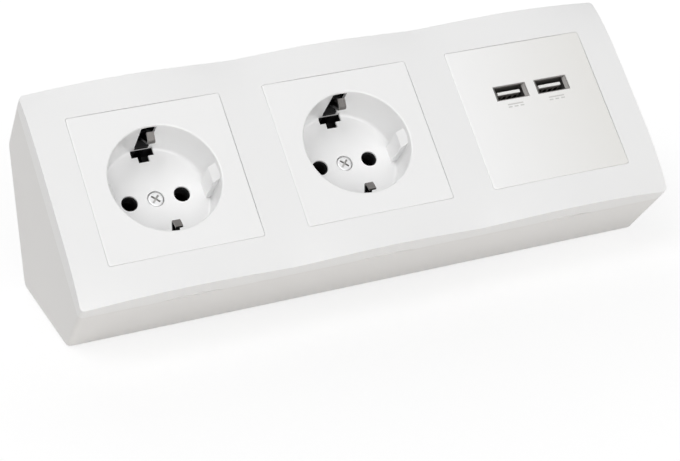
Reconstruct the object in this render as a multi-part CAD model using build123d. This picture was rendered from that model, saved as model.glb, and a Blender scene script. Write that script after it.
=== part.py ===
from build123d import *
import math
import os

# Under-cabinet power socket: a wedge-backed housing with two earthed socket
# inserts and a twin charging insert behind one crowned three-gang cover frame.
# Every piece is drawn facing forward, with x along the length, y up the face
# and z out of it, and z = 0 on the front of the face plates. REST then tips
# the whole stack back so that the lower slanting leg stands on the worktop.

# Overall form
GANG_COUNT = 3
FRAME_SIDE = 80.0  # height of the frame, and width of one gang with both its borders
GANG_OVERLAP = 9.0  # how much closer neighbouring gangs stand than that width
PLATE_SIDE = 55.0  # square face plate of an insert
SKIRT_DEPTH = 9.1  # front plane to the seam between frame and housing
SIDE_DEPTH = 37.0  # front plane to the edge where the legs begin
CORNER_DROP = 3.4  # fall of the crowned front at the corners of a gang
CROWN_POWER = 4  # how late the crown falls away from mid-height
VALLEY_REACH = 6.5  # half the width of the rounded valley between two gangs

# Walls, roundings and clearances
HOUSING_WALL = 2.4
HOUSING_DRAFT = 0.8  # degrees, from the seam towards the back
FRAME_WALL = 2.2
PLATE_WALL = 1.6
INSERT_WALL = 2.0
CORNER_RADIUS = 1.6
PLATE_CORNER_RADIUS = 0.8
SHOULDER_RADIUS = 6.5  # where a side turns into a leg
APEX_RADIUS = 4.0  # long back edge between the legs
EDGE_RADIUS = 0.4  # front edges of the plates
SEAM_GAP = 0.08  # frame to housing
PLATE_GAP = 0.12  # face plate to frame, all round
FIT_GAP = 0.1  # pegs, pins and shanks in their holes
SLIDE_GAP = 0.25  # loose fit of inner pieces in their pockets
OVER = 1.0  # how far a cutter runs past the face it opens

# Fixing of the inserts
RING_THICK = 1.0
RING_MARGIN = 0.5  # ring edge to the gang's boundary
RING_CORNER_RADIUS = 4.0
RING_SLOT_LENGTH = 8.0
SCREW_RADIUS = 1.45
SCREW_HEAD_RADIUS = 2.8
SCREW_HEAD_HEIGHT = 1.8
SCREW_HEAD_ROUND = 0.6
SCREW_SLOT_LENGTH = 3.6
SCREW_SLOT_WIDTH = 0.7
SCREW_SLOT_DEPTH = 1.4
RING_SCREW_LENGTH = 16.0
POST_RADIUS = 3.4
POST_WEB = 1.6
POST_GAP = 1.6  # side of an insert to a post
STAKE_RADIUS = 1.4
STAKE_INSET = 4.5  # sides of an insert to a stake
LEDGE_THICK = 1.5
LEDGE_WIDTH = 2.2
FOOT_RADIUS = 1.5

# Mounting holes and cable entry of the housing, pry notches of the frame
MOUNT_HOLE_RADIUS = 2.25
MOUNT_BOSS_RADIUS = 5.5
MOUNT_BOSS_HEIGHT = 2.0
CABLE_RADIUS = 4.0
GROMMET_WALL = 1.6
GROMMET_FLANGE = 2.2  # reach and thickness of the flange inside the wall
GROMMET_INSET = 18.0  # left end to the centre of the cable entry
PRY_LENGTH = 24.0
PRY_HEIGHT = 1.4
PRY_DEPTH = 0.6

# Earthed socket well
WELL_RADIUS = 19.5
WELL_DEPTH = 17.5
WELL_RIM_RADIUS = 0.6
WELL_FLOOR_RADIUS = 1.2
PIN_REACH = 9.5  # well centre to a contact hole
PIN_HOLE_RADIUS = 2.9
GUIDE_HALF_WIDTH = 3.0
GUIDE_REACH = 17.3  # well centre to the face of a guide rib
GUIDE_TOP = 2.2  # front plane to the top of a guide rib
EARTH_SLOT_WIDTH = 5.4
EARTH_SLOT_TOP = 1.0
EARTH_SLOT_FOOT = 1.6  # wall left between the slot and the well's floor
TEE_BAR_WIDTH = 8.2
TEE_BAR_HEIGHT = 3.0
TEE_BAR_REACH = 16.4  # well centre to the near edge of the bar
TEE_STEM_WIDTH = 3.9
TEE_STEM_HEIGHT = 2.2
OPENING_LIP = 0.8  # floor left round its openings
OPENING_RELIEF = 0.8  # how much wider the openings are behind that lip
CENTRE_SCREW_LENGTH = 12.0
CENTRE_RECESS_DEPTH = 2.0
CENTRE_RECESS_GAP = 0.2

# Insides of an insert
BASE_SIDE = 50.0
BASE_CORNER_RADIUS = 6.0
BASE_DEPTH = 25.4  # support ring to the rear cover
PIN_WEB = 3.5  # plastic between the well's floor and a contact
CONTACT_BORE = 2.45
CONTACT_WALL = 0.9
CONTACT_SLIT = 1.0
TERMINAL_SIDE = 7.0
TERMINAL_INSET = 8.0  # side of an insert to a terminal, along x
TERMINAL_RISE = 7.0  # gang centre to a terminal along y
TERMINAL_HEIGHT = 7.5
BRIDGE_THICK = 1.2
EARTH_WIDTH = 2.6
EARTH_THICK = 0.8
EARTH_EYE_WALL = 1.5  # strip left round the centre screw
EARTH_CHANNEL = 5.5  # depth of the earth strip's channel
EARTH_KNEE_DEPTH = 12.5  # front plane to where the strip leans in
EARTH_TIP_REACH = 13.8  # well centre to the earth tip's inner face
EARTH_TIP_DEPTH = 3.0
EARTH_END_REACH = 18.0
EARTH_END_DEPTH = 1.6
EARTH_TERMINAL_REACH = 12.0
EARTH_BEND = 1.1

# Wiring between the inserts
CONDUCTOR_RADIUS = 0.7
WIRE_RADIUS = 1.35
WIRE_SPACING = 3.8  # the two entries of one terminal
WIRE_DROP = 8.0  # rear cover to the run along the housing
WIRE_BEND = 4.0
STRIPPED_LENGTH = 7.0

# Twin charging insert
PORT_WIDTH = 13.1
PORT_HEIGHT = 5.7
PORT_SHEET = 0.3
PORT_CHEEK = 1.2  # doubled and flared sides of a port
PORT_PITCH = 16.8
PORT_OFFSET = 1.0  # pair's centre right of the plate's centre
PORT_RISE = 8.3  # ports above the plate's centre
PORT_SETBACK = 0.3
PORT_GAP = 0.1
TONGUE_WIDTH = 9.0
TONGUE_THICK = 1.1
TONGUE_SETBACK = 1.6
TONGUE_ROOT = 4.0
PORT_CONTACT_WIDTH = 1.0
PORT_CONTACT_THICK = 0.25
PORT_CONTACT_LENGTH = 6.0
PORT_CONTACT_PITCH = 2.2
PORT_CONTACT_SETBACK = 2.0  # tip of the tongue to the contacts
PORT_CONTACTS = 4
ARM_WIDTH = 6.0
ARM_THICK = 1.4
ARM_REACH = 18.5  # plate's centre to the middle of a snap arm
ARM_BARB = 0.6
BOARD_DEPTH = 7.0  # support ring to the circuit board
BOARD_THICK = 1.6
PILLAR_SIDE = 5.0
CORE_SIZE = (18.0, 8.0, 12.0)  # ferrite core of the transformer
COIL_SIZE = (12.6, 16.0, 11.0)
COIL_CORNER_RADIUS = 4.0
TRANSFORMER_PLACE = (-6.0, -9.0)
CAPACITOR_RADIUS = 4.0
CAPACITOR_LENGTH = 13.0
CAPACITOR_ROUND = 0.7
CAPACITOR_PLACE = (8.0, 8.0)

# Derived sizes
HALF = FRAME_SIDE / 2
GANG_PITCH = FRAME_SIDE - GANG_OVERLAP
LENGTH = (GANG_COUNT - 1) * GANG_PITCH + FRAME_SIDE
RING_SCREW_REACH = BASE_SIDE / 2 + POST_GAP + POST_RADIUS
STAKE_REACH = BASE_SIDE / 2 - STAKE_INSET
TERMINAL_REACH = BASE_SIDE / 2 - TERMINAL_INSET
APEX_DEPTH = SIDE_DEPTH + HALF
RIM_Z = -SKIRT_DEPTH
RING_TOP_Z = RIM_Z + RING_THICK
LEDGE_LOW_Z = RING_TOP_Z + SCREW_HEAD_HEIGHT + SLIDE_GAP
LEDGE_Z = LEDGE_LOW_Z + LEDGE_THICK
WINDOW = PLATE_SIDE + 2 * PLATE_GAP
FLOOR_Z = -WELL_DEPTH
FLOOR_BACK_Z = FLOOR_Z - INSERT_WALL
BASE_FLOOR_Z = FLOOR_BACK_Z - SLIDE_GAP
CUP_RADIUS = WELL_RADIUS + INSERT_WALL
POCKET_RADIUS = CUP_RADIUS + SLIDE_GAP
CONTACT_TOP_Z = BASE_FLOOR_Z - PIN_WEB
BASE_BACK_Z = RIM_Z - BASE_DEPTH
COVER_BACK_Z = BASE_BACK_Z - INSERT_WALL
CHANNEL_Z = BASE_FLOOR_Z - EARTH_CHANNEL
STRIP_TOP_Z = CHANNEL_Z + EARTH_THICK
EARTH_REACH = CUP_RADIUS + SLIDE_GAP + EARTH_THICK / 2
BOARD_Z = RIM_Z - BOARD_DEPTH
BOARD_BACK_Z = BOARD_Z - BOARD_THICK
REST = Pos(0, -SIDE_DEPTH / math.sqrt(2), APEX_DEPTH / math.sqrt(2)) * Rot(45, 0, 0)


def gang_x(index):
    """Centre of a gang, counted from the left."""
    return (index - (GANG_COUNT - 1) / 2) * GANG_PITCH


def prism(sketch, low, high):
    """A flat outline raised between two depths."""
    return extrude(Pos(0, 0, low) * sketch, high - low)


def block(x_span, y_span, z_span):
    """A straight-sided block between pairs of limits."""
    size = [span[1] - span[0] for span in (x_span, y_span, z_span)]
    middle = [(span[0] + span[1]) / 2 for span in (x_span, y_span, z_span)]
    return Pos(*middle) * Box(*size)


def leg_frame(side, x):
    """Middle of a leg's outer face, looking into the housing; side is 1 at the back, -1 below."""
    return Pos(x, side * HALF / 2, -(SIDE_DEPTH + HALF / 2)) * Rot(side * 45, 0, 0)


# Housing


def wedge(inset, front):
    """The five-sided body of the housing with drafted sides and ends, moved in by inset."""
    lean = math.tan(math.radians(HOUSING_DRAFT))
    spread = (front - RIM_Z) * lean
    half = HALF - inset
    apex = APEX_DEPTH - inset * math.sqrt(2)
    shoulder = (half - (apex + RIM_Z) * lean) / (1 - lean)
    right = [(half + spread, front), (shoulder, shoulder - apex)]
    left = [(-y, z) for y, z in reversed(right)]
    profile = make_face(Plane.YZ * Polyline(*right, (0, -apex), *left, close=True))
    profile = fillet(profile.vertices().sort_by(Axis.Z)[0], APEX_RADIUS - inset)
    shoulders = profile.vertices().filter_by(lambda v: abs(v.Z - shoulder + apex) < FIT_GAP)
    profile = fillet(shoulders, SHOULDER_RADIUS - inset)
    mouth = Pos(0, 0, front) * Rectangle(LENGTH - 2 * inset + 2 * spread, 2 * FRAME_SIDE)
    ends = extrude(mouth, APEX_DEPTH, dir=(0, 0, -1), taper=HOUSING_DRAFT)
    return extrude(profile, LENGTH / 2 + OVER, both=True) & ends


def round_ends(body):
    """Rounds the edges of both end faces, apart from those at the open front."""
    end_faces = body.faces().sort_by(Axis.X)
    edges = end_faces[0].edges() + end_faces[-1].edges()
    return fillet(edges.filter_by(lambda edge: edge.center().Z < RIM_Z - FIT_GAP), CORNER_RADIUS)


def post_places():
    """Centres of the posts that carry the support rings."""
    return [(gang_x(i), s * RING_SCREW_REACH) for i in range(GANG_COUNT) for s in (1, -1)]


def make_housing():
    """Open-fronted wedge shell with screw posts, mounting holes and a cable entry."""
    shell = round_ends(wedge(0, RIM_Z)) - wedge(HOUSING_WALL, RIM_Z + OVER)
    inner_limit = wedge(HOUSING_WALL / 2, RIM_Z)
    for x, y in post_places():
        post = prism(Pos(x, y) * Circle(POST_RADIUS), -APEX_DEPTH, RIM_Z)
        reach = math.copysign(HALF, y)
        web = block((x - POST_WEB / 2, x + POST_WEB / 2), sorted((y, reach)), (-APEX_DEPTH, RIM_Z))
        shell += (post + web) & inner_limit
    for x, y in post_places():
        depth = RING_SCREW_LENGTH + OVER
        shell -= prism(Pos(x, y) * Circle(SCREW_RADIUS + FIT_GAP / 2), RIM_Z - depth, RIM_Z + OVER)
    boss_top = HOUSING_WALL + MOUNT_BOSS_HEIGHT
    for side in (1, -1):
        for x in (-GANG_PITCH / 2, GANG_PITCH / 2):
            leg = leg_frame(side, x)
            shell += leg * prism(Circle(MOUNT_BOSS_RADIUS), HOUSING_WALL / 2, boss_top)
            shell -= leg * prism(Circle(MOUNT_HOLE_RADIUS), -OVER, boss_top + OVER)
    entry = Circle(CABLE_RADIUS + GROMMET_WALL)
    return shell - cable_entry() * prism(entry, -OVER, HOUSING_WALL + OVER)


def cable_entry():
    """Place of the cable entry, on the leg that faces the wall."""
    return leg_frame(1, GROMMET_INSET - LENGTH / 2)


def make_grommet():
    """Rubber bush pushed into the cable entry from inside, flush with the outer face."""
    body = prism(Circle(CABLE_RADIUS + GROMMET_WALL - FIT_GAP), 0, HOUSING_WALL)
    flange = Circle(CABLE_RADIUS + GROMMET_WALL + GROMMET_FLANGE)
    bush = body + prism(flange, HOUSING_WALL, HOUSING_WALL + GROMMET_FLANGE)
    bush = fillet(bush.edges().group_by(Axis.Z)[-1], GROMMET_FLANGE / 3)
    bush -= prism(Circle(CABLE_RADIUS), -OVER, HOUSING_WALL + GROMMET_FLANGE + OVER)
    return cable_entry() * bush


# Cover frame


def crown_points(drop):
    """Points along the front: an arch over every gang and a rounded valley between neighbours."""
    arch = GANG_PITCH / 2 - VALLEY_REACH
    valley = drop * arch * GANG_PITCH / 2 / HALF**2
    points = [(-LENGTH / 2, -drop)]
    for index in range(GANG_COUNT):
        x = gang_x(index)
        if index > 0:
            points.append((x - GANG_PITCH / 2, -valley))
        for offset in (-arch, 0, arch):
            points.append((x + offset, -drop * (offset / HALF) ** 2))
    return points + [(LENGTH / 2, -drop)]


def crown_section(share, lowered, base):
    """Upright section of the crowned front, at a share of the half height from the middle."""
    drop = CORNER_DROP * abs(share) ** CROWN_POWER
    points = [(x, z - lowered) for x, z in crown_points(drop)]
    left, right = points[0], points[-1]
    rest = Polyline(right, (right[0], base), (left[0], base), left)
    return Pos(0, share * HALF, 0) * make_face(Plane.XZ * (Spline(*points) + rest))


def crowned_block(inset, lowered, base):
    """All gangs as one crowned block, its sides moved in by inset and its front lowered."""
    shares = (-1, -0.5, 0, 0.5, 1)
    solid = loft([crown_section(share, lowered, base) for share in shares])
    radius = max(CORNER_RADIUS - inset, FIT_GAP)
    outline = RectangleRounded(LENGTH - 2 * inset, FRAME_SIDE - 2 * inset, radius)
    return solid & prism(outline, base, OVER)


def pry_notch(x):
    """Shallow crescent in the lower edge of the skirt, where a blade lifts the frame."""
    low = RIM_Z - SEAM_GAP
    arc = ThreePointArc((x - PRY_LENGTH / 2, low), (x, RIM_Z + PRY_HEIGHT), (x + PRY_LENGTH / 2, low))
    chord = Line(arc @ 1, arc @ 0)
    crescent = make_face(Plane.XZ * (arc + chord))
    return extrude(Pos(0, -HALF, 0) * crescent, PRY_DEPTH, both=True)


def make_cover_frame():
    """Crowned frame, hollow behind, with a rimmed and ledged window for every face plate."""
    skirt_z = RIM_Z + SEAM_GAP
    body = crowned_block(0, 0, skirt_z)
    frame = body - crowned_block(FRAME_WALL, FRAME_WALL, skirt_z - OVER)
    rim_side = WINDOW + 2 * FRAME_WALL
    foot_reach = WINDOW / 2 + FRAME_WALL - FOOT_RADIUS
    for index in range(GANG_COUNT):
        middle = Pos(gang_x(index), 0)
        frame += prism(middle * Rectangle(rim_side, rim_side), LEDGE_LOW_Z, OVER) & body
        for place in corner_places(foot_reach):
            frame += prism(middle * place * Circle(FOOT_RADIUS), RING_TOP_Z, LEDGE_Z)
    for index in range(GANG_COUNT):
        middle = Pos(gang_x(index), 0)
        opening = WINDOW - 2 * LEDGE_WIDTH
        window = RectangleRounded(WINDOW, WINDOW, PLATE_CORNER_RADIUS + PLATE_GAP)
        frame -= prism(middle * window, LEDGE_Z, OVER)
        frame -= prism(middle * Rectangle(opening, opening), LEDGE_LOW_Z - OVER, LEDGE_Z + OVER)
        frame -= pry_notch(gang_x(index))
    return frame


# Pieces shared by the inserts


def corner_places(reach):
    """Four places at the corners of a square, reach from its centre lines."""
    return GridLocations(2 * reach, 2 * reach, 2, 2)


def plate_blank():
    """Square face plate with a skirt that stands on the frame's ledge."""
    outline = RectangleRounded(PLATE_SIDE, PLATE_SIDE, PLATE_CORNER_RADIUS)
    plate = prism(outline, LEDGE_Z, 0)
    plate = fillet(plate.edges().group_by(Axis.Z)[-1], EDGE_RADIUS)
    inner = PLATE_SIDE - 2 * PLATE_WALL
    return plate - prism(Rectangle(inner, inner), LEDGE_Z - OVER, -PLATE_WALL)


def make_support_ring():
    """Steel ring screwed to the housing's posts, with an insert staked below it."""
    side = GANG_PITCH - 2 * RING_MARGIN
    ring = RectangleRounded(side, side, RING_CORNER_RADIUS) - Circle(POCKET_RADIUS)
    slot = SlotOverall(RING_SLOT_LENGTH, 2 * (SCREW_RADIUS + FIT_GAP))
    for turn in (0, 90, 180, 270):
        ring -= Rot(0, 0, turn) * Pos(0, RING_SCREW_REACH) * slot
    for place in corner_places(STAKE_REACH):
        ring -= place * Circle(STAKE_RADIUS + FIT_GAP)
    return prism(ring, RIM_Z, RING_TOP_Z)


def screw(head_z, length):
    """Pan-head screw with a cross slot, its head resting at head_z."""
    head_top = head_z + SCREW_HEAD_HEIGHT
    head = prism(Circle(SCREW_HEAD_RADIUS), head_z, head_top)
    head = fillet(head.edges().group_by(Axis.Z)[-1], SCREW_HEAD_ROUND)
    slot = Rectangle(SCREW_SLOT_LENGTH, SCREW_SLOT_WIDTH)
    for turn in (45, 135):
        head -= prism(Rot(0, 0, turn) * slot, head_top - SCREW_SLOT_DEPTH, head_top + OVER)
    return head + prism(Circle(SCREW_RADIUS), head_z - length, head_z)


def make_ring_screws():
    """Screws that hold the support rings down on the posts."""
    screws = Part()
    for x, y in post_places():
        screws += Pos(x, y, 0) * screw(RING_TOP_Z, RING_SCREW_LENGTH)
    return screws


def insert_block():
    """Moulded body of an insert, with the four stakes that pass through its support ring."""
    outline = RectangleRounded(BASE_SIDE, BASE_SIDE, BASE_CORNER_RADIUS)
    body = prism(outline, BASE_BACK_Z, RIM_Z)
    for place in corner_places(STAKE_REACH):
        body += prism(place * Circle(STAKE_RADIUS), RIM_Z - OVER, RING_TOP_Z)
    return body


def terminal_place(side):
    """Middle of a pole's terminal; side is -1 for line on the left, 1 for neutral."""
    return (side * TERMINAL_REACH, -side * TERMINAL_RISE)


def wire_entries(side):
    """The two wire entries of a pole, or of the earth terminal for side 0."""
    if side == 0:
        return [(s * WIRE_SPACING / 2, -EARTH_TERMINAL_REACH) for s in (-1, 1)]
    x, y = terminal_place(side)
    return [(x, y + s * WIRE_SPACING / 2) for s in (-1, 1)]


def make_rear_cover(poles, peg_length):
    """Plate that closes an insert behind, with a hole for every wire and four long pegs."""
    cover = prism(RectangleRounded(BASE_SIDE, BASE_SIDE, BASE_CORNER_RADIUS), COVER_BACK_Z, BASE_BACK_Z)
    cover = chamfer(cover.edges().group_by(Axis.Z)[0], INSERT_WALL / 2)
    for place in corner_places(STAKE_REACH):
        cover += prism(place * Circle(STAKE_RADIUS), BASE_BACK_Z - OVER, BASE_BACK_Z + peg_length)
    for pole in poles:
        for x, y in wire_entries(pole):
            hole = Circle(CONDUCTOR_RADIUS + SLIDE_GAP)
            cover -= prism(Pos(x, y) * hole, COVER_BACK_Z - OVER, BASE_BACK_Z + OVER)
    return cover


def terminal_block(x, y, high, entries):
    """Brass clamp block standing on the rear cover, bored for bared wire ends."""
    clamp = prism(Pos(x, y) * Rectangle(TERMINAL_SIDE, TERMINAL_SIDE), BASE_BACK_Z, high)
    for wire_x, wire_y in entries:
        bore = Pos(wire_x, wire_y) * Circle(CONDUCTOR_RADIUS + FIT_GAP)
        clamp -= prism(bore, BASE_BACK_Z - OVER, BASE_BACK_Z + STRIPPED_LENGTH)
    return clamp


# Earthed socket insert


def tee_slot(grow):
    """Tee-shaped opening in the well's floor below an earth tip."""
    bar_y = TEE_BAR_REACH + TEE_BAR_HEIGHT / 2
    stem_y = TEE_BAR_REACH - TEE_STEM_HEIGHT / 2
    bar = Pos(0, bar_y) * Rectangle(TEE_BAR_WIDTH + grow, TEE_BAR_HEIGHT + grow)
    return bar + Pos(0, stem_y) * Rectangle(TEE_STEM_WIDTH + grow, TEE_STEM_HEIGHT + grow)


def guide_rib():
    """Rib on the right wall of the well, sloped at its top, that steers the plug."""
    back = WELL_RADIUS + INSERT_WALL / 2
    slope = back - GUIDE_REACH
    points = [
        (GUIDE_REACH, FLOOR_Z),
        (GUIDE_REACH, -GUIDE_TOP - slope),
        (WELL_RADIUS, -GUIDE_TOP),
        (back, -GUIDE_TOP),
        (back, FLOOR_Z),
    ]
    profile = make_face(Plane.XZ * Polyline(*points, close=True))
    return extrude(profile, GUIDE_HALF_WIDTH, both=True)


def floor_opening(outline, relief):
    """Cutter for an opening in the well's floor, wider behind a thin lip."""
    behind = prism(relief, FLOOR_BACK_Z - OVER, FLOOR_Z - OPENING_LIP)
    return behind + prism(outline, FLOOR_BACK_Z, FLOOR_Z + OVER)


def make_socket_plate():
    """Face plate with the round well, its guide ribs, contact holes and earth openings."""
    recess_radius = SCREW_HEAD_RADIUS + CENTRE_RECESS_GAP
    recess_z = FLOOR_Z - CENTRE_RECESS_DEPTH
    boss_z = recess_z - INSERT_WALL / 2
    plate = plate_blank() + prism(Circle(CUP_RADIUS), FLOOR_BACK_Z, -PLATE_WALL / 2)
    plate += prism(Circle(recess_radius + INSERT_WALL / 2), boss_z, FLOOR_BACK_Z + OVER)
    well = fillet(prism(Circle(WELL_RADIUS), FLOOR_Z, OVER).edges().sort_by(Axis.Z)[0], WELL_FLOOR_RADIUS)
    plate -= well
    front_edges = plate.edges().filter_by(GeomType.CIRCLE).group_by(Axis.Z)[-1]
    plate = fillet(front_edges.sort_by(SortBy.RADIUS)[-1], WELL_RIM_RADIUS)
    plate += guide_rib() + Rot(0, 0, 180) * guide_rib()
    slot_x = EARTH_SLOT_WIDTH / 2
    slot_z = (FLOOR_Z + EARTH_SLOT_FOOT, -EARTH_SLOT_TOP)
    slot = block((-slot_x, slot_x), (GUIDE_REACH, CUP_RADIUS + OVER), slot_z)
    back_x = slot_x + OPENING_RELIEF
    back_z = (slot_z[0] - OPENING_RELIEF, slot_z[1])
    slot += block((-back_x, back_x), (WELL_RADIUS + OPENING_LIP, CUP_RADIUS + OVER), back_z)
    for turn in (0, 180):
        plate -= Rot(0, 0, turn) * slot
        plate -= Rot(0, 0, turn) * floor_opening(tee_slot(0), tee_slot(2 * OPENING_RELIEF))
    for side in (-1, 1):
        hole = Circle(PIN_HOLE_RADIUS)
        relief = Circle(PIN_HOLE_RADIUS + OPENING_RELIEF)
        plate -= Pos(side * PIN_REACH, 0, 0) * floor_opening(hole, relief)
    plate -= prism(Circle(recess_radius), recess_z, FLOOR_Z + OVER)
    return plate - prism(Circle(SCREW_RADIUS + FIT_GAP), boss_z - OVER, FLOOR_Z)


def contact_outline(side, grow):
    """Outline of a pole's contact: its round sleeve, its terminal and the bridge between them."""
    x, y = terminal_place(side)
    pin_x = side * PIN_REACH
    sleeve = Pos(pin_x, 0) * Circle(CONTACT_BORE + CONTACT_WALL + grow)
    terminal = Pos(x, y) * Rectangle(TERMINAL_SIDE + 2 * grow, TERMINAL_SIDE + 2 * grow)
    bridge = Pos((x + pin_x) / 2, y / 2) * Rectangle(abs(x - pin_x), abs(y) + 2 * grow)
    return sleeve + terminal + bridge


def make_contact(side):
    """Slit brass sleeve for a plug pin, bridged to the clamp block of its terminal."""
    x, y = terminal_place(side)
    high = BASE_BACK_Z + TERMINAL_HEIGHT
    pin = Pos(side * PIN_REACH, 0)
    sleeve_radius = CONTACT_BORE + CONTACT_WALL
    contact = prism(pin * Circle(sleeve_radius), BASE_BACK_Z, CONTACT_TOP_Z)
    contact += prism(contact_outline(side, 0), high - BRIDGE_THICK, high)
    contact += terminal_block(x, y, high, wire_entries(side))
    contact -= prism(pin * Circle(CONTACT_BORE), BASE_BACK_Z - OVER, CONTACT_TOP_Z + OVER)
    slit = pin * Rectangle(CONTACT_SLIT, 2 * sleeve_radius + OVER)
    return contact - prism(slit, high, CONTACT_TOP_Z + OVER)


def make_base():
    """Insert body: a pocket for the well in front, chambers for the contacts behind."""
    body = insert_block() - prism(Circle(POCKET_RADIUS), BASE_FLOOR_Z, RIM_Z + OVER)
    boss_radius = SCREW_HEAD_RADIUS + CENTRE_RECESS_GAP + INSERT_WALL / 2
    body -= prism(Circle(boss_radius + SLIDE_GAP), CHANNEL_Z, RIM_Z)
    strip_end = EARTH_REACH + EARTH_THICK / 2 + SLIDE_GAP
    channel = Rectangle(EARTH_WIDTH + 2 * SLIDE_GAP, 2 * strip_end)
    body -= prism(channel, CHANNEL_Z, RIM_Z + OVER)
    for turn in (0, 180):
        body -= prism(Rot(0, 0, turn) * tee_slot(2 * SLIDE_GAP), CHANNEL_Z, RIM_Z)
    for side in (-1, 1):
        chamber = contact_outline(side, SLIDE_GAP)
        body -= prism(chamber, BASE_BACK_Z - OVER, CONTACT_TOP_Z)
        hole = Pos(side * PIN_REACH, 0) * Circle(PIN_HOLE_RADIUS)
        body -= prism(hole, CONTACT_TOP_Z - OVER, BASE_FLOOR_Z + OVER)
    earth_side = TERMINAL_SIDE + 2 * SLIDE_GAP
    earth_chamber = Pos(0, -EARTH_TERMINAL_REACH) * Rectangle(earth_side, earth_side)
    body -= prism(earth_chamber, BASE_BACK_Z - OVER, CHANNEL_Z + OVER)
    screw_end = FLOOR_Z - CENTRE_RECESS_DEPTH - CENTRE_SCREW_LENGTH
    body -= prism(Circle(SCREW_RADIUS + FIT_GAP), screw_end - OVER, CHANNEL_Z + OVER)
    for place in corner_places(STAKE_REACH):
        peg_hole = place * Circle(STAKE_RADIUS + FIT_GAP)
        body -= prism(peg_hole, BASE_BACK_Z - OVER, BASE_BACK_Z + peg_depth() + FIT_GAP)
    return body


def peg_depth():
    """How far the rear cover's pegs reach into a socket's body."""
    return 2 * STAKE_RADIUS


def make_earth_clip():
    """Earth strip bent up at both ends into springy tips that stand out of the well's wall."""
    strip_z = STRIP_TOP_Z - EARTH_THICK / 2
    half = [
        (EARTH_REACH, strip_z),
        (EARTH_REACH, -EARTH_KNEE_DEPTH),
        (EARTH_TIP_REACH + EARTH_THICK / 2, -EARTH_TIP_DEPTH),
        (EARTH_END_REACH, -EARTH_END_DEPTH),
    ]
    points = [(0, -y, z) for y, z in reversed(half)] + [(0, y, z) for y, z in half]
    path = FilletPolyline(*points, radius=EARTH_BEND)
    start = Plane(path @ 0, x_dir=(1, 0, 0), z_dir=path % 0)
    clip = sweep(start * Rectangle(EARTH_WIDTH, EARTH_THICK), path=path)
    clip += terminal_block(0, -EARTH_TERMINAL_REACH, strip_z, wire_entries(0))
    hole_radius = SCREW_RADIUS + FIT_GAP
    clip += prism(Circle(hole_radius + EARTH_EYE_WALL), STRIP_TOP_Z - EARTH_THICK, STRIP_TOP_Z)
    return clip - prism(Circle(hole_radius), CHANNEL_Z - OVER, STRIP_TOP_Z + OVER)


def socket_nodes(name):
    """All pieces of one earthed socket insert, about its own centre."""
    return {
        f"{name}_face_plate": make_socket_plate(),
        f"{name}_base": make_base(),
        f"{name}_rear_cover": make_rear_cover((-1, 0, 1), peg_depth()),
        f"{name}_support_ring": make_support_ring(),
        f"{name}_line_contact": make_contact(-1),
        f"{name}_neutral_contact": make_contact(1),
        f"{name}_earth_clip": make_earth_clip(),
        f"{name}_centre_screw": screw(FLOOR_Z - CENTRE_RECESS_DEPTH, CENTRE_SCREW_LENGTH),
    }


# Twin charging insert


def port_places():
    """Centres of the two charging ports."""
    return [Pos(PORT_OFFSET + s * PORT_PITCH / 2, PORT_RISE) for s in (-1, 1)]


def snap_arm():
    """Arm behind the right half of the plate, barbed to hook under the front of the charger's case."""
    tip_z = RIM_Z - 2 * INSERT_WALL
    hook_z = RIM_Z - INSERT_WALL - FIT_GAP
    inner = ARM_REACH - ARM_THICK / 2
    outer = ARM_REACH + ARM_THICK / 2
    points = [
        (inner, -PLATE_WALL / 2),
        (inner, tip_z),
        (outer, tip_z),
        (outer + ARM_BARB, hook_z),
        (outer, hook_z),
        (outer, -PLATE_WALL / 2),
    ]
    profile = make_face(Plane.XZ * Polyline(*points, close=True))
    return extrude(profile, ARM_WIDTH / 2, both=True)


def make_charger_plate():
    """Face plate with two port openings, a collar behind each and two snap arms."""
    plate = plate_blank() + snap_arm() + Rot(0, 0, 180) * snap_arm()
    width = PORT_WIDTH + 2 * PORT_GAP
    height = PORT_HEIGHT + 2 * PORT_GAP
    for place in port_places():
        collar = place * Rectangle(width + 2 * PLATE_WALL, height + 2 * PLATE_WALL)
        plate += prism(collar, LEDGE_Z, -PLATE_WALL / 2)
    for place in port_places():
        plate -= prism(place * Rectangle(width, height), LEDGE_Z - OVER, OVER)
    return plate


def make_charger_case():
    """Box of the charger, open behind, with pillars that the circuit board lies against."""
    inner = BASE_SIDE - 2 * INSERT_WALL
    hollow = RectangleRounded(inner, inner, BASE_CORNER_RADIUS - INSERT_WALL)
    case = insert_block() - prism(hollow, BASE_BACK_Z - OVER, RIM_Z - INSERT_WALL)
    for place in corner_places(STAKE_REACH):
        case += prism(place * Rectangle(PILLAR_SIDE, PILLAR_SIDE), BOARD_Z, RIM_Z - OVER)
    width = PORT_WIDTH + 2 * SLIDE_GAP
    height = PORT_HEIGHT + 2 * SLIDE_GAP
    for place in port_places():
        case -= prism(place * Rectangle(width, height), BOARD_Z, RIM_Z + OVER)
    arm_slot = Rectangle(ARM_THICK + 2 * SLIDE_GAP, ARM_WIDTH + 2 * SLIDE_GAP)
    for side in (-1, 1):
        case -= prism(Pos(side * ARM_REACH, 0) * arm_slot, RIM_Z - INSERT_WALL - OVER, RIM_Z + OVER)
    return case


def make_board():
    """Circuit board that carries the ports in front and the supply parts behind."""
    side = BASE_SIDE - 2 * INSERT_WALL - 2 * SLIDE_GAP
    outline = RectangleRounded(side, side, BASE_CORNER_RADIUS - INSERT_WALL)
    return prism(outline, BOARD_BACK_Z, BOARD_Z)


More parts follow.
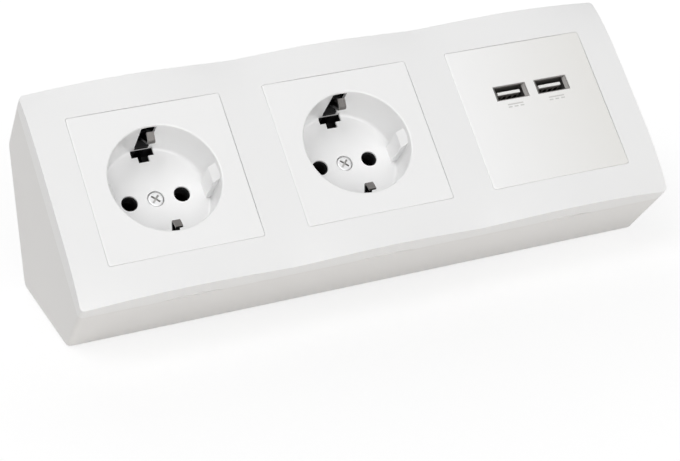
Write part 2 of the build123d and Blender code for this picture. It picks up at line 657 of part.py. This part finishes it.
def make_transformer():
    """Small transformer: a coil wound in the window of a ferrite core."""
    place = Pos(*TRANSFORMER_PLACE)
    core = Rectangle(CORE_SIZE[0], CORE_SIZE[1])
    coil = RectangleRounded(COIL_SIZE[0], COIL_SIZE[1], COIL_CORNER_RADIUS)
    wound = prism(place * coil, BOARD_BACK_Z - COIL_SIZE[2], BOARD_BACK_Z)
    return wound + prism(place * core, BOARD_BACK_Z - CORE_SIZE[2], BOARD_BACK_Z)


def make_capacitor():
    """Round capacitor standing on the back of the board."""
    can = prism(Circle(CAPACITOR_RADIUS), BOARD_BACK_Z - CAPACITOR_LENGTH, BOARD_BACK_Z)
    can = fillet(can.edges().group_by(Axis.Z)[0], CAPACITOR_ROUND)
    return Pos(*CAPACITOR_PLACE, 0) * can


def make_charger_terminals():
    """Clamp blocks for line and neutral between the rear cover and the board."""
    blocks = Part()
    for side in (-1, 1):
        blocks += terminal_block(*terminal_place(side), BOARD_BACK_Z, wire_entries(side))
    return blocks


def port_bore():
    """Inner width and height of a port's shell."""
    return PORT_WIDTH - 2 * PORT_CHEEK, PORT_HEIGHT - 2 * PORT_SHEET


def make_port_shell():
    """Folded steel shell of one charging port, standing on the board, its sides flared in front."""
    width, height = port_bore()
    outer = RectangleRounded(PORT_WIDTH, PORT_HEIGHT, 2 * PORT_SHEET)
    shell = prism(outer - Rectangle(width, height), BOARD_Z, -PORT_SETBACK)
    flare = PORT_CHEEK - PORT_SHEET
    mouth = Pos(0, 0, -PORT_SETBACK) * Rectangle(width + 2 * flare, height)
    throat = Pos(0, 0, -PORT_SETBACK - flare) * Rectangle(width, height)
    return shell - loft([throat, mouth])


def tongue_middle():
    """Height of the tongue's middle above the port's centre."""
    return TONGUE_THICK / 2 + PORT_SHEET / 2


def make_port_tongue():
    """Plastic tongue on a root block that fills the back of the shell."""
    width, height = port_bore()
    root = Rectangle(width - 2 * FIT_GAP, height - 2 * FIT_GAP)
    root = prism(root, BOARD_Z, BOARD_Z + TONGUE_ROOT)
    tongue = Pos(0, tongue_middle()) * Rectangle(TONGUE_WIDTH, TONGUE_THICK)
    return root + prism(tongue, BOARD_Z, -PORT_SETBACK - TONGUE_SETBACK)


def make_port_contacts():
    """Spring contacts on the underside of the tongue."""
    low_y = tongue_middle() - TONGUE_THICK / 2 - PORT_CONTACT_THICK
    high_z = -PORT_SETBACK - TONGUE_SETBACK - PORT_CONTACT_SETBACK
    contacts = Part()
    for index in range(PORT_CONTACTS):
        x = (index - (PORT_CONTACTS - 1) / 2) * PORT_CONTACT_PITCH
        x_span = (x - PORT_CONTACT_WIDTH / 2, x + PORT_CONTACT_WIDTH / 2)
        y_span = (low_y, low_y + PORT_CONTACT_THICK)
        contacts += block(x_span, y_span, (high_z - PORT_CONTACT_LENGTH, high_z))
    return contacts


def charger_nodes():
    """All pieces of the twin charging insert, about its own centre."""
    nodes = {
        "charger_face_plate": make_charger_plate(),
        "charger_case": make_charger_case(),
        "charger_rear_cover": make_rear_cover((-1, 1), BOARD_BACK_Z - BASE_BACK_Z),
        "charger_support_ring": make_support_ring(),
        "charger_board": make_board(),
        "charger_transformer": make_transformer(),
        "charger_capacitor": make_capacitor(),
        "charger_terminals": make_charger_terminals(),
    }
    for number, place in enumerate(port_places(), start=1):
        nodes[f"port_{number}_shell"] = place * make_port_shell()
        nodes[f"port_{number}_tongue"] = place * make_port_tongue()
        nodes[f"port_{number}_contacts"] = place * make_port_contacts()
    return nodes


# Wiring


def make_link(start, end):
    """Insulated wire looped behind two neighbouring inserts, with bared ends in their terminals."""
    run_z = COVER_BACK_Z - WIRE_DROP
    ends = (start, end)
    points = [(*start, COVER_BACK_Z), (*start, run_z), (*end, run_z), (*end, COVER_BACK_Z)]
    path = FilletPolyline(*points, radius=WIRE_BEND)
    wire = sweep(Plane(path @ 0, z_dir=path % 0) * Circle(WIRE_RADIUS), path=path)
    for x, y in ends:
        bared = Pos(x, y) * Circle(CONDUCTOR_RADIUS)
        wire += prism(bared, COVER_BACK_Z - OVER, COVER_BACK_Z + STRIPPED_LENGTH)
    return wire


def link_nodes():
    """Links from insert to insert: both poles all along, earth between the sockets only."""
    nodes = {}
    poles = {"line": -1, "neutral": 1, "earth": 0}
    for number in range(1, GANG_COUNT):
        for pole, side in poles.items():
            if pole == "earth" and number == GANG_COUNT - 1:
                continue
            x, y = wire_entries(side)[number - 1]
            start = (gang_x(number - 1) + x, y)
            end = (gang_x(number) + x, y)
            nodes[f"{pole}_link_{number}"] = make_link(start, end)
    return nodes


def build_nodes():
    """Every piece in its place, facing forward."""
    nodes = {
        "housing": make_housing(),
        "cable_grommet": make_grommet(),
        "cover_frame": make_cover_frame(),
        "ring_screws": make_ring_screws(),
    }
    for index in range(GANG_COUNT - 1):
        for name, piece in socket_nodes(f"socket_{index + 1}").items():
            nodes[name] = Pos(gang_x(index), 0, 0) * piece
    for name, piece in charger_nodes().items():
        nodes[name] = Pos(gang_x(GANG_COUNT - 1), 0, 0) * piece
    nodes.update(link_nodes())
    return nodes


os.makedirs("parts", exist_ok=True)
for node, shape in build_nodes().items():
    export_step(REST * shape, f"parts/{node}.step")
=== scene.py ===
import math

import bmesh
import bpy
from mathutils import Matrix, Vector


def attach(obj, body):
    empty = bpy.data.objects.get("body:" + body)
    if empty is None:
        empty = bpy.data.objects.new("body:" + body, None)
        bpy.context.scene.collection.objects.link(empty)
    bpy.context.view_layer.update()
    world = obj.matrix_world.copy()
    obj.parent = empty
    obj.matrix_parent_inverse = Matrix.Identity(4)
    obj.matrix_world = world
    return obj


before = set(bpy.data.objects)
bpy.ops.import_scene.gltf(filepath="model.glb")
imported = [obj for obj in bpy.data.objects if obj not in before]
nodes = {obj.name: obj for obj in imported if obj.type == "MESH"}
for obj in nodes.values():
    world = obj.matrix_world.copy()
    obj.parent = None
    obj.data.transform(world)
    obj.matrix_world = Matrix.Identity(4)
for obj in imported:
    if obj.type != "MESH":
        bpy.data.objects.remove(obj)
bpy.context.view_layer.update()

# Housing and cover frame.
# The wedge body and the crowned frame are moulded in white ABS, and left as they come out of a finely
# spark-eroded tool: a satin skin with soft highlights and no clear mirror image. The body's white is painted
# a shade greyer than the frame's, as painted shade on its lower band and ends.
MM = 0.001
CLOUD_SIZE = 38 * MM  # of the faint clouds in a plastic's pigment
GLOSS_SPREAD = 0.05  # how far a plastic's roughness strays to either side


def linear(hex_colour):
    """Linear RGBA of an sRGB hex colour."""
    values = [int(hex_colour[i:i + 2], 16) / 255 for i in (1, 3, 5)]
    return [v / 12.92 if v <= 0.04045 else ((v + 0.055) / 1.055) ** 2.4 for v in values] + [1.0]


def add(tree, kind, inputs, **settings):
    """A node with its settings; an input takes a value, or the socket that feeds it."""
    made = tree.nodes.new(kind)
    for name, value in settings.items():
        setattr(made, name, value)
    for name, value in inputs.items():
        if isinstance(value, bpy.types.NodeSocket):
            tree.links.new(value, made.inputs[name])
        else:
            made.inputs[name].default_value = value
    return made


def new_material(name):
    """An empty node material, its tree and its object coordinates."""
    material = bpy.data.materials.new(name)
    material.use_nodes = True
    material.node_tree.nodes.clear()
    coords = add(material.node_tree, "ShaderNodeTexCoord", {})
    return material, material.node_tree, coords.outputs["Object"]


def noise(tree, place, size, detail, roughness=0.5):
    """Noise with features of a real size."""
    made = add(tree, "ShaderNodeTexNoise",
               {"Vector": place, "Scale": 1 / size, "Detail": detail, "Roughness": roughness})
    return made.outputs["Fac"]


def spread(tree, amount, low, high):
    """A number that goes from low to high as the amount goes from 0 to 1."""
    made = add(tree, "ShaderNodeMapRange", {"Value": amount, "To Min": low, "To Max": high})
    return made.outputs["Result"]


def mix_colours(tree, amount, first, second):
    """A colour between two, each a linear colour or a socket."""
    made = add(tree, "ShaderNodeMix", {"Factor": amount, "A": first, "B": second}, data_type="RGBA")
    return made.outputs["Result"]


def surface(tree, inputs):
    """The material's surface, from the inputs of its shader."""
    shader = add(tree, "ShaderNodeBsdfPrincipled", inputs)
    add(tree, "ShaderNodeOutputMaterial", {"Surface": shader.outputs["BSDF"]})


def moulded_plastic(name, dark, light, roughness, grain_mm, grain_height_mm, ior=1.52):
    """Moulded plastic: faint clouding in the pigment, a fine eroded grain and slightly uneven gloss."""
    material, tree, place = new_material(name)
    colour = mix_colours(tree, noise(tree, place, CLOUD_SIZE, 2.0), linear(dark), linear(light))
    grain = noise(tree, place, grain_mm * MM, 4.0, 0.6)
    gloss = spread(tree, grain, roughness - GLOSS_SPREAD, roughness + GLOSS_SPREAD)
    bump = add(tree, "ShaderNodeBump", {"Height": grain, "Strength": 0.5, "Distance": grain_height_mm * MM})
    surface(tree, {"Base Color": colour, "Roughness": gloss, "IOR": ior, "Normal": bump.outputs["Normal"]})
    return material


def dress(material, *names):
    """Gives CAD nodes their finish."""
    for name in names:
        nodes[name].data.materials.clear()
        nodes[name].data.materials.append(material)


# Painted shade: the body's copy of the white ABS is greyer than the frame's.
white_abs_painted_shade = moulded_plastic("white ABS", "#EDECEB", "#F0EFEE", roughness=0.42,
                            grain_mm=0.5, grain_height_mm=0.004, ior=1.45)
dress(white_abs_painted_shade, "housing")
bright_white_abs = moulded_plastic("bright white ABS", "#F4F4F4", "#F7F7F7", roughness=0.42,
                                   grain_mm=0.5, grain_height_mm=0.004, ior=1.45)
dress(bright_white_abs, "cover_frame")

# Face plates of the sockets.
# Each is one moulding with its round well, in a glossier white polycarbonate.
white_polycarbonate = moulded_plastic("white polycarbonate", "#F7F7F7", "#FAFAFA", roughness=0.3,
                                      grain_mm=0.6, grain_height_mm=0.002, ior=1.58)
dress(white_polycarbonate, "socket_1_face_plate", "socket_2_face_plate")

# Face plate of the charging insert.
# The same kind of moulding under a satin lacquer of a warm grey white, with fine flakes that break up its
# gloss. Its colour is painted lighter and cooler towards its left edge, as painted shading across the plate.
PLATE_LEFT = 43.5 * MM
PLATE_RIGHT = 98.5 * MM


def share(tree, value, none, full):
    """How far a value has come from none to full, from 0 to 1."""
    made = add(tree, "ShaderNodeMapRange", {"Value": value, "From Min": none, "From Max": full})
    return made.outputs["Result"]


lacquer_with_painted_shading, tree, place = new_material("white lacquer with painted shading")
across = add(tree, "ShaderNodeSeparateXYZ", {"Vector": place})
# Painted shading: lighter and cooler at the plate's left edge, darker and warmer at its right.
painted_shading_across = share(tree, across.outputs["X"], PLATE_LEFT, PLATE_RIGHT)
colour = mix_colours(tree, painted_shading_across, linear("#FDFDFD"), linear("#EFEEEB"))
flakes = noise(tree, place, 0.2 * MM, 3.0)
gloss = spread(tree, flakes, 0.28, 0.42)
bump = add(tree, "ShaderNodeBump", {"Height": flakes, "Strength": 0.4, "Distance": 0.002 * MM})
surface(tree, {"Base Color": colour, "Roughness": gloss, "IOR": 1.5, "Normal": bump.outputs["Normal"]})
dress(lacquer_with_painted_shading, "charger_face_plate")

# Marks below the charging ports.
# The general sign for direct current, a bar over three dashes, pad-printed in pale grey ink.
OUTWARD = Vector((0.0, -math.sqrt(0.5), math.sqrt(0.5)))  # the way the front faces
UP_THE_FRONT = Vector((0.0, math.sqrt(0.5), math.sqrt(0.5)))
FRONT = 57.0 * MM  # from the origin to the front plane, the way it faces
FRONT_MIDDLE = OUTWARD * FRONT + UP_THE_FRONT * 20.0 * MM
ON_FRONT = Matrix.Translation(FRONT_MIDDLE) @ Matrix.Rotation(math.pi / 4, 4, "X")  # from a level sheet
PORT_PLACES = (63.6 * MM, 80.4 * MM)
BAR = (0.0, 3.4 * MM, 6.4 * MM)  # place along and up the front, and length
DASHES = [(along * MM, 2.4 * MM, 1.6 * MM) for along in (-2.4, 0.0, 2.4)]
STROKE_HEIGHT = 0.5 * MM
STROKE_ROUNDING = 0.22 * MM
INK_THICK = 0.03 * MM


def new_object(name, shape, material):
    """An object of the scene, from a bmesh and its material."""
    mesh = bpy.data.meshes.new(name)
    shape.to_mesh(mesh)
    shape.free()
    mesh.materials.append(material)
    made = bpy.data.objects.new(name, mesh)
    bpy.context.collection.objects.link(made)
    return made


ink = bmesh.new()
for port_place in PORT_PLACES:
    for along, up, length in [BAR] + DASHES:
        spot = Matrix.Translation((port_place + along, up, INK_THICK / 2))
        size = Matrix.Diagonal((length, STROKE_HEIGHT, INK_THICK, 1.0))
        bmesh.ops.create_cube(ink, size=1.0, matrix=spot @ size)
ends = [edge for edge in ink.edges if abs(edge.verts[0].co.z - edge.verts[1].co.z) > INK_THICK / 2]
bmesh.ops.bevel(ink, geom=ends, offset=STROKE_ROUNDING, offset_type="OFFSET", affect="EDGES",
                segments=4, profile=0.5, material=-1)
bmesh.ops.transform(ink, matrix=ON_FRONT, verts=ink.verts)
pad_ink = moulded_plastic("grey pad-printing ink", "#D0CFCD", "#D6D5D3", roughness=0.5,
                          grain_mm=0.2, grain_height_mm=0.001)
marks = new_object("direct_current_marks", ink, pad_ink)
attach(marks, "root")

# Bodies and rear covers of the inserts.
# Dark thermoset mouldings that stay hidden, apart from the gloom seen through the slots.
dark_thermoset = moulded_plastic("dark thermoset", "#0B0B0C", "#131314", roughness=0.6,
                                 grain_mm=0.4, grain_height_mm=0.004)
dress(dark_thermoset, "socket_1_base", "socket_2_base", "charger_case")
dress(dark_thermoset, "socket_1_rear_cover", "socket_2_rear_cover", "charger_rear_cover")

# Snap hooks of the socket bodies.
# Two to a body, in the same dark thermoset: each reaches through a wall slot of the well, lies on the slot's
# foot and turns down over it, which holds the face plate. Their dark also serves as painted shade over the
# slot's foot, where the well shows only shade.
HOOK_WIDTH = 5.0 * MM
HOOK_FRONT = 19.1 * MM  # from the well's centre, as are the next two
HOOK_INNER_FACE = 19.3 * MM
HOOK_ROOT = 21.6 * MM
HOOK_TOP = -15.2 * MM  # below the front plane, as are the next two
HOOK_UNDERSIDE = -15.85 * MM
HOOK_END = -16.95 * MM
HOOK_ROUNDING = 0.06 * MM
HOOK_OUTLINE = [(HOOK_FRONT, HOOK_END), (HOOK_FRONT, HOOK_TOP), (HOOK_ROOT, HOOK_TOP),
                (HOOK_ROOT, HOOK_UNDERSIDE), (HOOK_INNER_FACE, HOOK_UNDERSIDE), (HOOK_INNER_FACE, HOOK_END)]
# Partly painted shade: the dark hooks cover the slots' feet.
for name, well_place in (("socket_1_snap_hooks", -71.0 * MM), ("socket_2_snap_hooks", 0.0)):
    hooks = bmesh.new()
    for turn in (0.0, math.pi):
        corners = [hooks.verts.new((-HOOK_WIDTH / 2, y, z)) for y, z in HOOK_OUTLINE]
        pulled = bmesh.ops.extrude_face_region(hooks, geom=[hooks.faces.new(corners)])
        moved = [item for item in pulled["geom"] if isinstance(item, bmesh.types.BMVert)]
        bmesh.ops.translate(hooks, verts=moved, vec=(HOOK_WIDTH, 0, 0))
        facing = Matrix.Rotation(turn, 3, "Z")
        bmesh.ops.rotate(hooks, verts=corners + moved, cent=(0, 0, 0), matrix=facing)
    bmesh.ops.recalc_face_normals(hooks, faces=hooks.faces)
    bmesh.ops.bevel(hooks, geom=hooks.edges, offset=HOOK_ROUNDING, offset_type="OFFSET", affect="EDGES",
                    segments=2, profile=0.5, material=-1)
    bmesh.ops.transform(hooks, matrix=ON_FRONT @ Matrix.Translation((well_place, 0, 0)), verts=hooks.verts)
    piece = new_object(name, hooks, dark_thermoset)
    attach(piece, "root")

# Tongues of the charging ports.
# Glass-filled plastic, white at a tip that starts 0.6 mm behind its front edge; the body behind it, which
# carries the contacts, is painted grey as painted shade inside the port.
PAINTED_SHADE_END = FRONT - 2.5 * MM
PAINTED_SHADE_EDGE = 0.1 * MM  # over which the white tip gives way to the painted shade


def depth(tree, place):
    """How far a point lies the way the front faces, from the origin."""
    made = add(tree, "ShaderNodeVectorMath", {0: place, 1: OUTWARD}, operation="DOT_PRODUCT")
    return made.outputs["Value"]


tongue_plastic_painted_shade, tree, place = new_material("glass-filled plastic with painted shade")
unshaded_tip = share(tree, depth(tree, place), PAINTED_SHADE_END, PAINTED_SHADE_END + PAINTED_SHADE_EDGE)
# Painted shade: grey further into the port, white at the tip.
colour = mix_colours(tree, unshaded_tip, linear("#77726F"), linear("#F6F6F4"))
fibres = noise(tree, place, 0.2 * MM, 2.0)
surface(tree, {"Base Color": colour, "Roughness": spread(tree, fibres, 0.4, 0.6)})
dress(tongue_plastic_painted_shade, "port_1_tongue", "port_2_tongue")

# Support rings and their screws.
# Zinc-plated steel with faint rolling streaks, the rings painted near black as painted shade where they show
# through the slots.
STREAK_SHAPE = (1.0, 0.06, 0.06)  # streaks are drawn out along the sheet
POLISH_SPREAD = 0.08  # how far a metal's roughness strays to either side


def plated_metal(name, dark, light, roughness, streak_mm, painted_shade=None):
    """Metal with streaks; painted shade gives its colour, the depth where it ends and where it is full."""
    material, tree, place = new_material(name)
    stretch = add(tree, "ShaderNodeMapping", {"Vector": place, "Scale": STREAK_SHAPE})
    streaks = noise(tree, stretch.outputs["Vector"], streak_mm * MM, 3.0)
    colour = mix_colours(tree, streaks, linear(dark), linear(light))
    # Painted shade: a colour that fades in with depth.
    if painted_shade:
        shade_colour, end, full = painted_shade
        colour = mix_colours(tree, share(tree, depth(tree, place), end, full), colour, linear(shade_colour))
    polish = spread(tree, streaks, roughness - POLISH_SPREAD, roughness + POLISH_SPREAD)
    surface(tree, {"Base Color": colour, "Metallic": 1.0, "Roughness": polish})
    return material


# Painted shade: the rings' near-black colour.
ring_zinc_painted_shade = plated_metal("zinc in painted shade", "#242526", "#303132", roughness=0.5, streak_mm=0.3)
dress(ring_zinc_painted_shade, "socket_1_support_ring", "socket_2_support_ring", "charger_support_ring")
zinc_steel = plated_metal("zinc-plated steel", "#DADBDC", "#E8E8E9", roughness=0.5, streak_mm=0.3)
dress(zinc_steel, "ring_screws")

# Earth strips.
# Spring steel, dark grey at the tips, where a plug's earth contact rubs, and painted near black further in
# as painted shade in the wall slots.
STRIP_SHADE_START = FRONT - 3.3 * MM
# Painted shade: near black deeper than the tips.
STRIP_PAINTED_SHADE = ("#0E0E0F", STRIP_SHADE_START, STRIP_SHADE_START - 0.6 * MM)
spring_steel_painted_shade = plated_metal("spring steel with painted shade", "#6A6866", "#827F7D",
                            roughness=0.3, streak_mm=0.2, painted_shade=STRIP_PAINTED_SHADE)
dress(spring_steel_painted_shade, "socket_1_earth_clip", "socket_2_earth_clip")

# Shells of the charging ports.
# Folded tin-plated steel, duller than the strips' tips.
tin_steel = plated_metal("tin-plated steel", "#807E7C", "#969492", roughness=0.5, streak_mm=0.2)
dress(tin_steel, "port_1_shell", "port_2_shell")

# Centre screws.
# Zinc-plated like the other screws, with painted shade that darkens their slots.
HEAD_TOP = FRONT - 17.7 * MM
# Painted shade: a greyer colour in the cross recess.
SLOT_PAINTED_SHADE = ("#C9C8C6", HEAD_TOP - 0.25 * MM, HEAD_TOP - 0.45 * MM)
screw_with_painted_shade = plated_metal("zinc-plated steel with painted shade in its slot", "#DCDCDD", "#E4E4E4",
                           roughness=0.5, streak_mm=0.3, painted_shade=SLOT_PAINTED_SHADE)
dress(screw_with_painted_shade, "socket_1_centre_screw", "socket_2_centre_screw")

# Contacts and terminals.
# Stamped brass, bright at the clamp blocks and painted near black as painted shade where a plug's pins go
# in.
CONTACT_SHADE_START = FRONT - 29.0 * MM
# Painted shade: near black towards the front, in the pin holes.
CONTACT_PAINTED_SHADE = ("#17140F", CONTACT_SHADE_START, CONTACT_SHADE_START + 2.0 * MM)
contact_brass = plated_metal("contact brass", "#C39A4E", "#D6B067",
                             roughness=0.35, streak_mm=0.2, painted_shade=CONTACT_PAINTED_SHADE)
dress(contact_brass, "socket_1_line_contact", "socket_2_line_contact", "charger_terminals")
dress(contact_brass, "socket_1_neutral_contact", "socket_2_neutral_contact")
dress(contact_brass, "port_1_contacts", "port_2_contacts")

# Wire links and electronics behind the plates.
# Insulation in the usual pole colours, a green laminate board, and dark parts on it.
for name, dark, light, wires in (
        ("brown insulation", "#5A3420", "#643B25", ("line_link_1", "line_link_2")),
        ("blue insulation", "#24519A", "#2C5CA8", ("neutral_link_1", "neutral_link_2")),
        ("green insulation", "#3F8A2E", "#4A9636", ("earth_link_1",))):
    insulation = moulded_plastic(name, dark, light, roughness=0.45, grain_mm=0.4, grain_height_mm=0.002)
    dress(insulation, *wires)
laminate = moulded_plastic("board laminate", "#1F5A34", "#27683D", roughness=0.4,
                           grain_mm=0.8, grain_height_mm=0.002)
dress(laminate, "charger_board")
ferrite = moulded_plastic("ferrite", "#2A2A2B", "#353536", roughness=0.7,
                          grain_mm=0.5, grain_height_mm=0.006)
dress(ferrite, "charger_transformer")
sleeve = moulded_plastic("capacitor sleeve", "#1B1B24", "#24242E", roughness=0.3,
                         grain_mm=0.6, grain_height_mm=0.001)
dress(sleeve, "charger_capacitor")

# Cable grommet.
# Soft black rubber pushed into the hole of the wall leg.
rubber = moulded_plastic("black rubber", "#1A1A1A", "#232323", roughness=0.75,
                         grain_mm=0.4, grain_height_mm=0.01)
dress(rubber, "cable_grommet")

# Studio floor.
# A sheet of white paper that isn't part of the object. To the camera and in reflections it glows a little,
# less so near the object as a painted shadow, and the light that it sends back is that of a pale table.
FLOOR_HALF = 3.0
PAINTED_SHADOW_REACH = 0.4  # radius of the part that glows less
GLOW_FAR = 1.25
GLOW_IN_PAINTED_SHADOW = 1.045
GLOW_SHARE = 0.7


def background_rays(tree):
    """1 for rays that show the background: from the camera, off a glossy surface or through a clear one."""
    path = add(tree, "ShaderNodeLightPath", {})
    bounced = add(tree, "ShaderNodeMath",
                  {0: path.outputs["Is Glossy Ray"], 1: path.outputs["Is Transmission Ray"]},
                  operation="MAXIMUM")
    shown = add(tree, "ShaderNodeMath",
                {0: path.outputs["Is Camera Ray"], 1: bounced.outputs["Value"]}, operation="MAXIMUM")
    return shown.outputs["Value"]


paper, tree, place = new_material("white paper sweep")
tone = mix_colours(tree, noise(tree, place, 3 * MM, 2.0), linear("#F4F4F4"), linear("#F7F7F7"))
matte = add(tree, "ShaderNodeBsdfDiffuse", {"Color": tone})
# Painted shadow: the glow is weaker within this reach of the object.
reach = add(tree, "ShaderNodeMapping", {"Vector": place, "Scale": [1 / PAINTED_SHADOW_REACH] * 3})
painted_shadow = add(tree, "ShaderNodeTexGradient", {"Vector": reach.outputs["Vector"]}, gradient_type="SPHERICAL")
strength = spread(tree, painted_shadow.outputs["Fac"], GLOW_FAR, GLOW_IN_PAINTED_SHADOW)
glow = add(tree, "ShaderNodeEmission", {"Color": (1, 1, 1, 1), "Strength": strength})
sweep = add(tree, "ShaderNodeMixShader",
            {0: GLOW_SHARE, 1: matte.outputs["BSDF"], 2: glow.outputs["Emission"]})
table = add(tree, "ShaderNodeBsdfDiffuse", {"Color": linear("#EAE8E5")})
either = add(tree, "ShaderNodeMixShader",
             {0: background_rays(tree), 1: table.outputs["BSDF"], 2: sweep.outputs["Shader"]})
add(tree, "ShaderNodeOutputMaterial", {"Surface": either.outputs["Shader"]})
sheet = bmesh.new()
bmesh.ops.create_grid(sheet, x_segments=1, y_segments=1, size=FLOOR_HALF)
floor = new_object("studio_floor", sheet, paper)

# Surround and lights.
# A white surround that lights the object less than it shows, and three soft boxes: the key high on the
# left, a low one in front for the lower faces, and a weaker one behind.
SURROUND_LIGHT = 0.275
BOX_SIDE = 1.8
BOX_AIM = Vector((0.0, 0.0, 0.04))
world = bpy.data.worlds.new("studio_surround")
world.use_nodes = True
bpy.context.scene.world = world
tree = world.node_tree
tree.nodes.clear()
lighting = add(tree, "ShaderNodeBackground", {"Color": (1, 1, 1, 1), "Strength": SURROUND_LIGHT})
white = add(tree, "ShaderNodeBackground", {"Color": (1, 1, 1, 1), "Strength": 1.0})
surround = add(tree, "ShaderNodeMixShader",
               {0: background_rays(tree), 1: lighting.outputs["Background"], 2: white.outputs["Background"]})
add(tree, "ShaderNodeOutputWorld", {"Surface": surround.outputs["Shader"]})


def soft_box(name, place, watts):
    """A square soft box at a place, turned towards the object."""
    lamp = bpy.data.lights.new(name, "AREA")
    lamp.shape = "SQUARE"
    lamp.size = BOX_SIDE
    lamp.energy = watts
    holder = bpy.data.objects.new(name, lamp)
    holder.location = place
    holder.rotation_euler = (BOX_AIM - Vector(place)).to_track_quat("-Z", "Y").to_euler()
    bpy.context.collection.objects.link(holder)


soft_box("key_light", (-1.2, -0.75, 2.55), 32.0)
soft_box("front_light", (-0.4, -2.85, 0.7), 36.0)
soft_box("back_light", (0.6, 2.5, 1.3), 18.0)

# Camera.
# It stands at the photograph's viewing angle, worked out from the corners of the face plates.
AIM = Vector((-0.01144, -0.03436, 0.02604))
DISTANCE = 0.69
AZIMUTH = math.radians(-23.02)
ELEVATION = math.radians(23.14)
ROLL = math.radians(-1.94)
camera_data = bpy.data.cameras.new("photo_camera")
camera_data.lens = 104.7
camera_data.sensor_width = 36.0
camera = bpy.data.objects.new("photo_camera", camera_data)
bpy.context.collection.objects.link(camera)
heading = Matrix.Rotation(AZIMUTH, 4, "Z") @ Matrix.Rotation(math.pi / 2 - ELEVATION, 4, "X")
backed_off = Matrix.Translation((0, 0, DISTANCE)) @ Matrix.Rotation(ROLL, 4, "Z")
camera.matrix_world = Matrix.Translation(AIM) @ heading @ backed_off
bpy.context.scene.camera = camera
bpy.context.scene.view_settings.view_transform = "Standard"
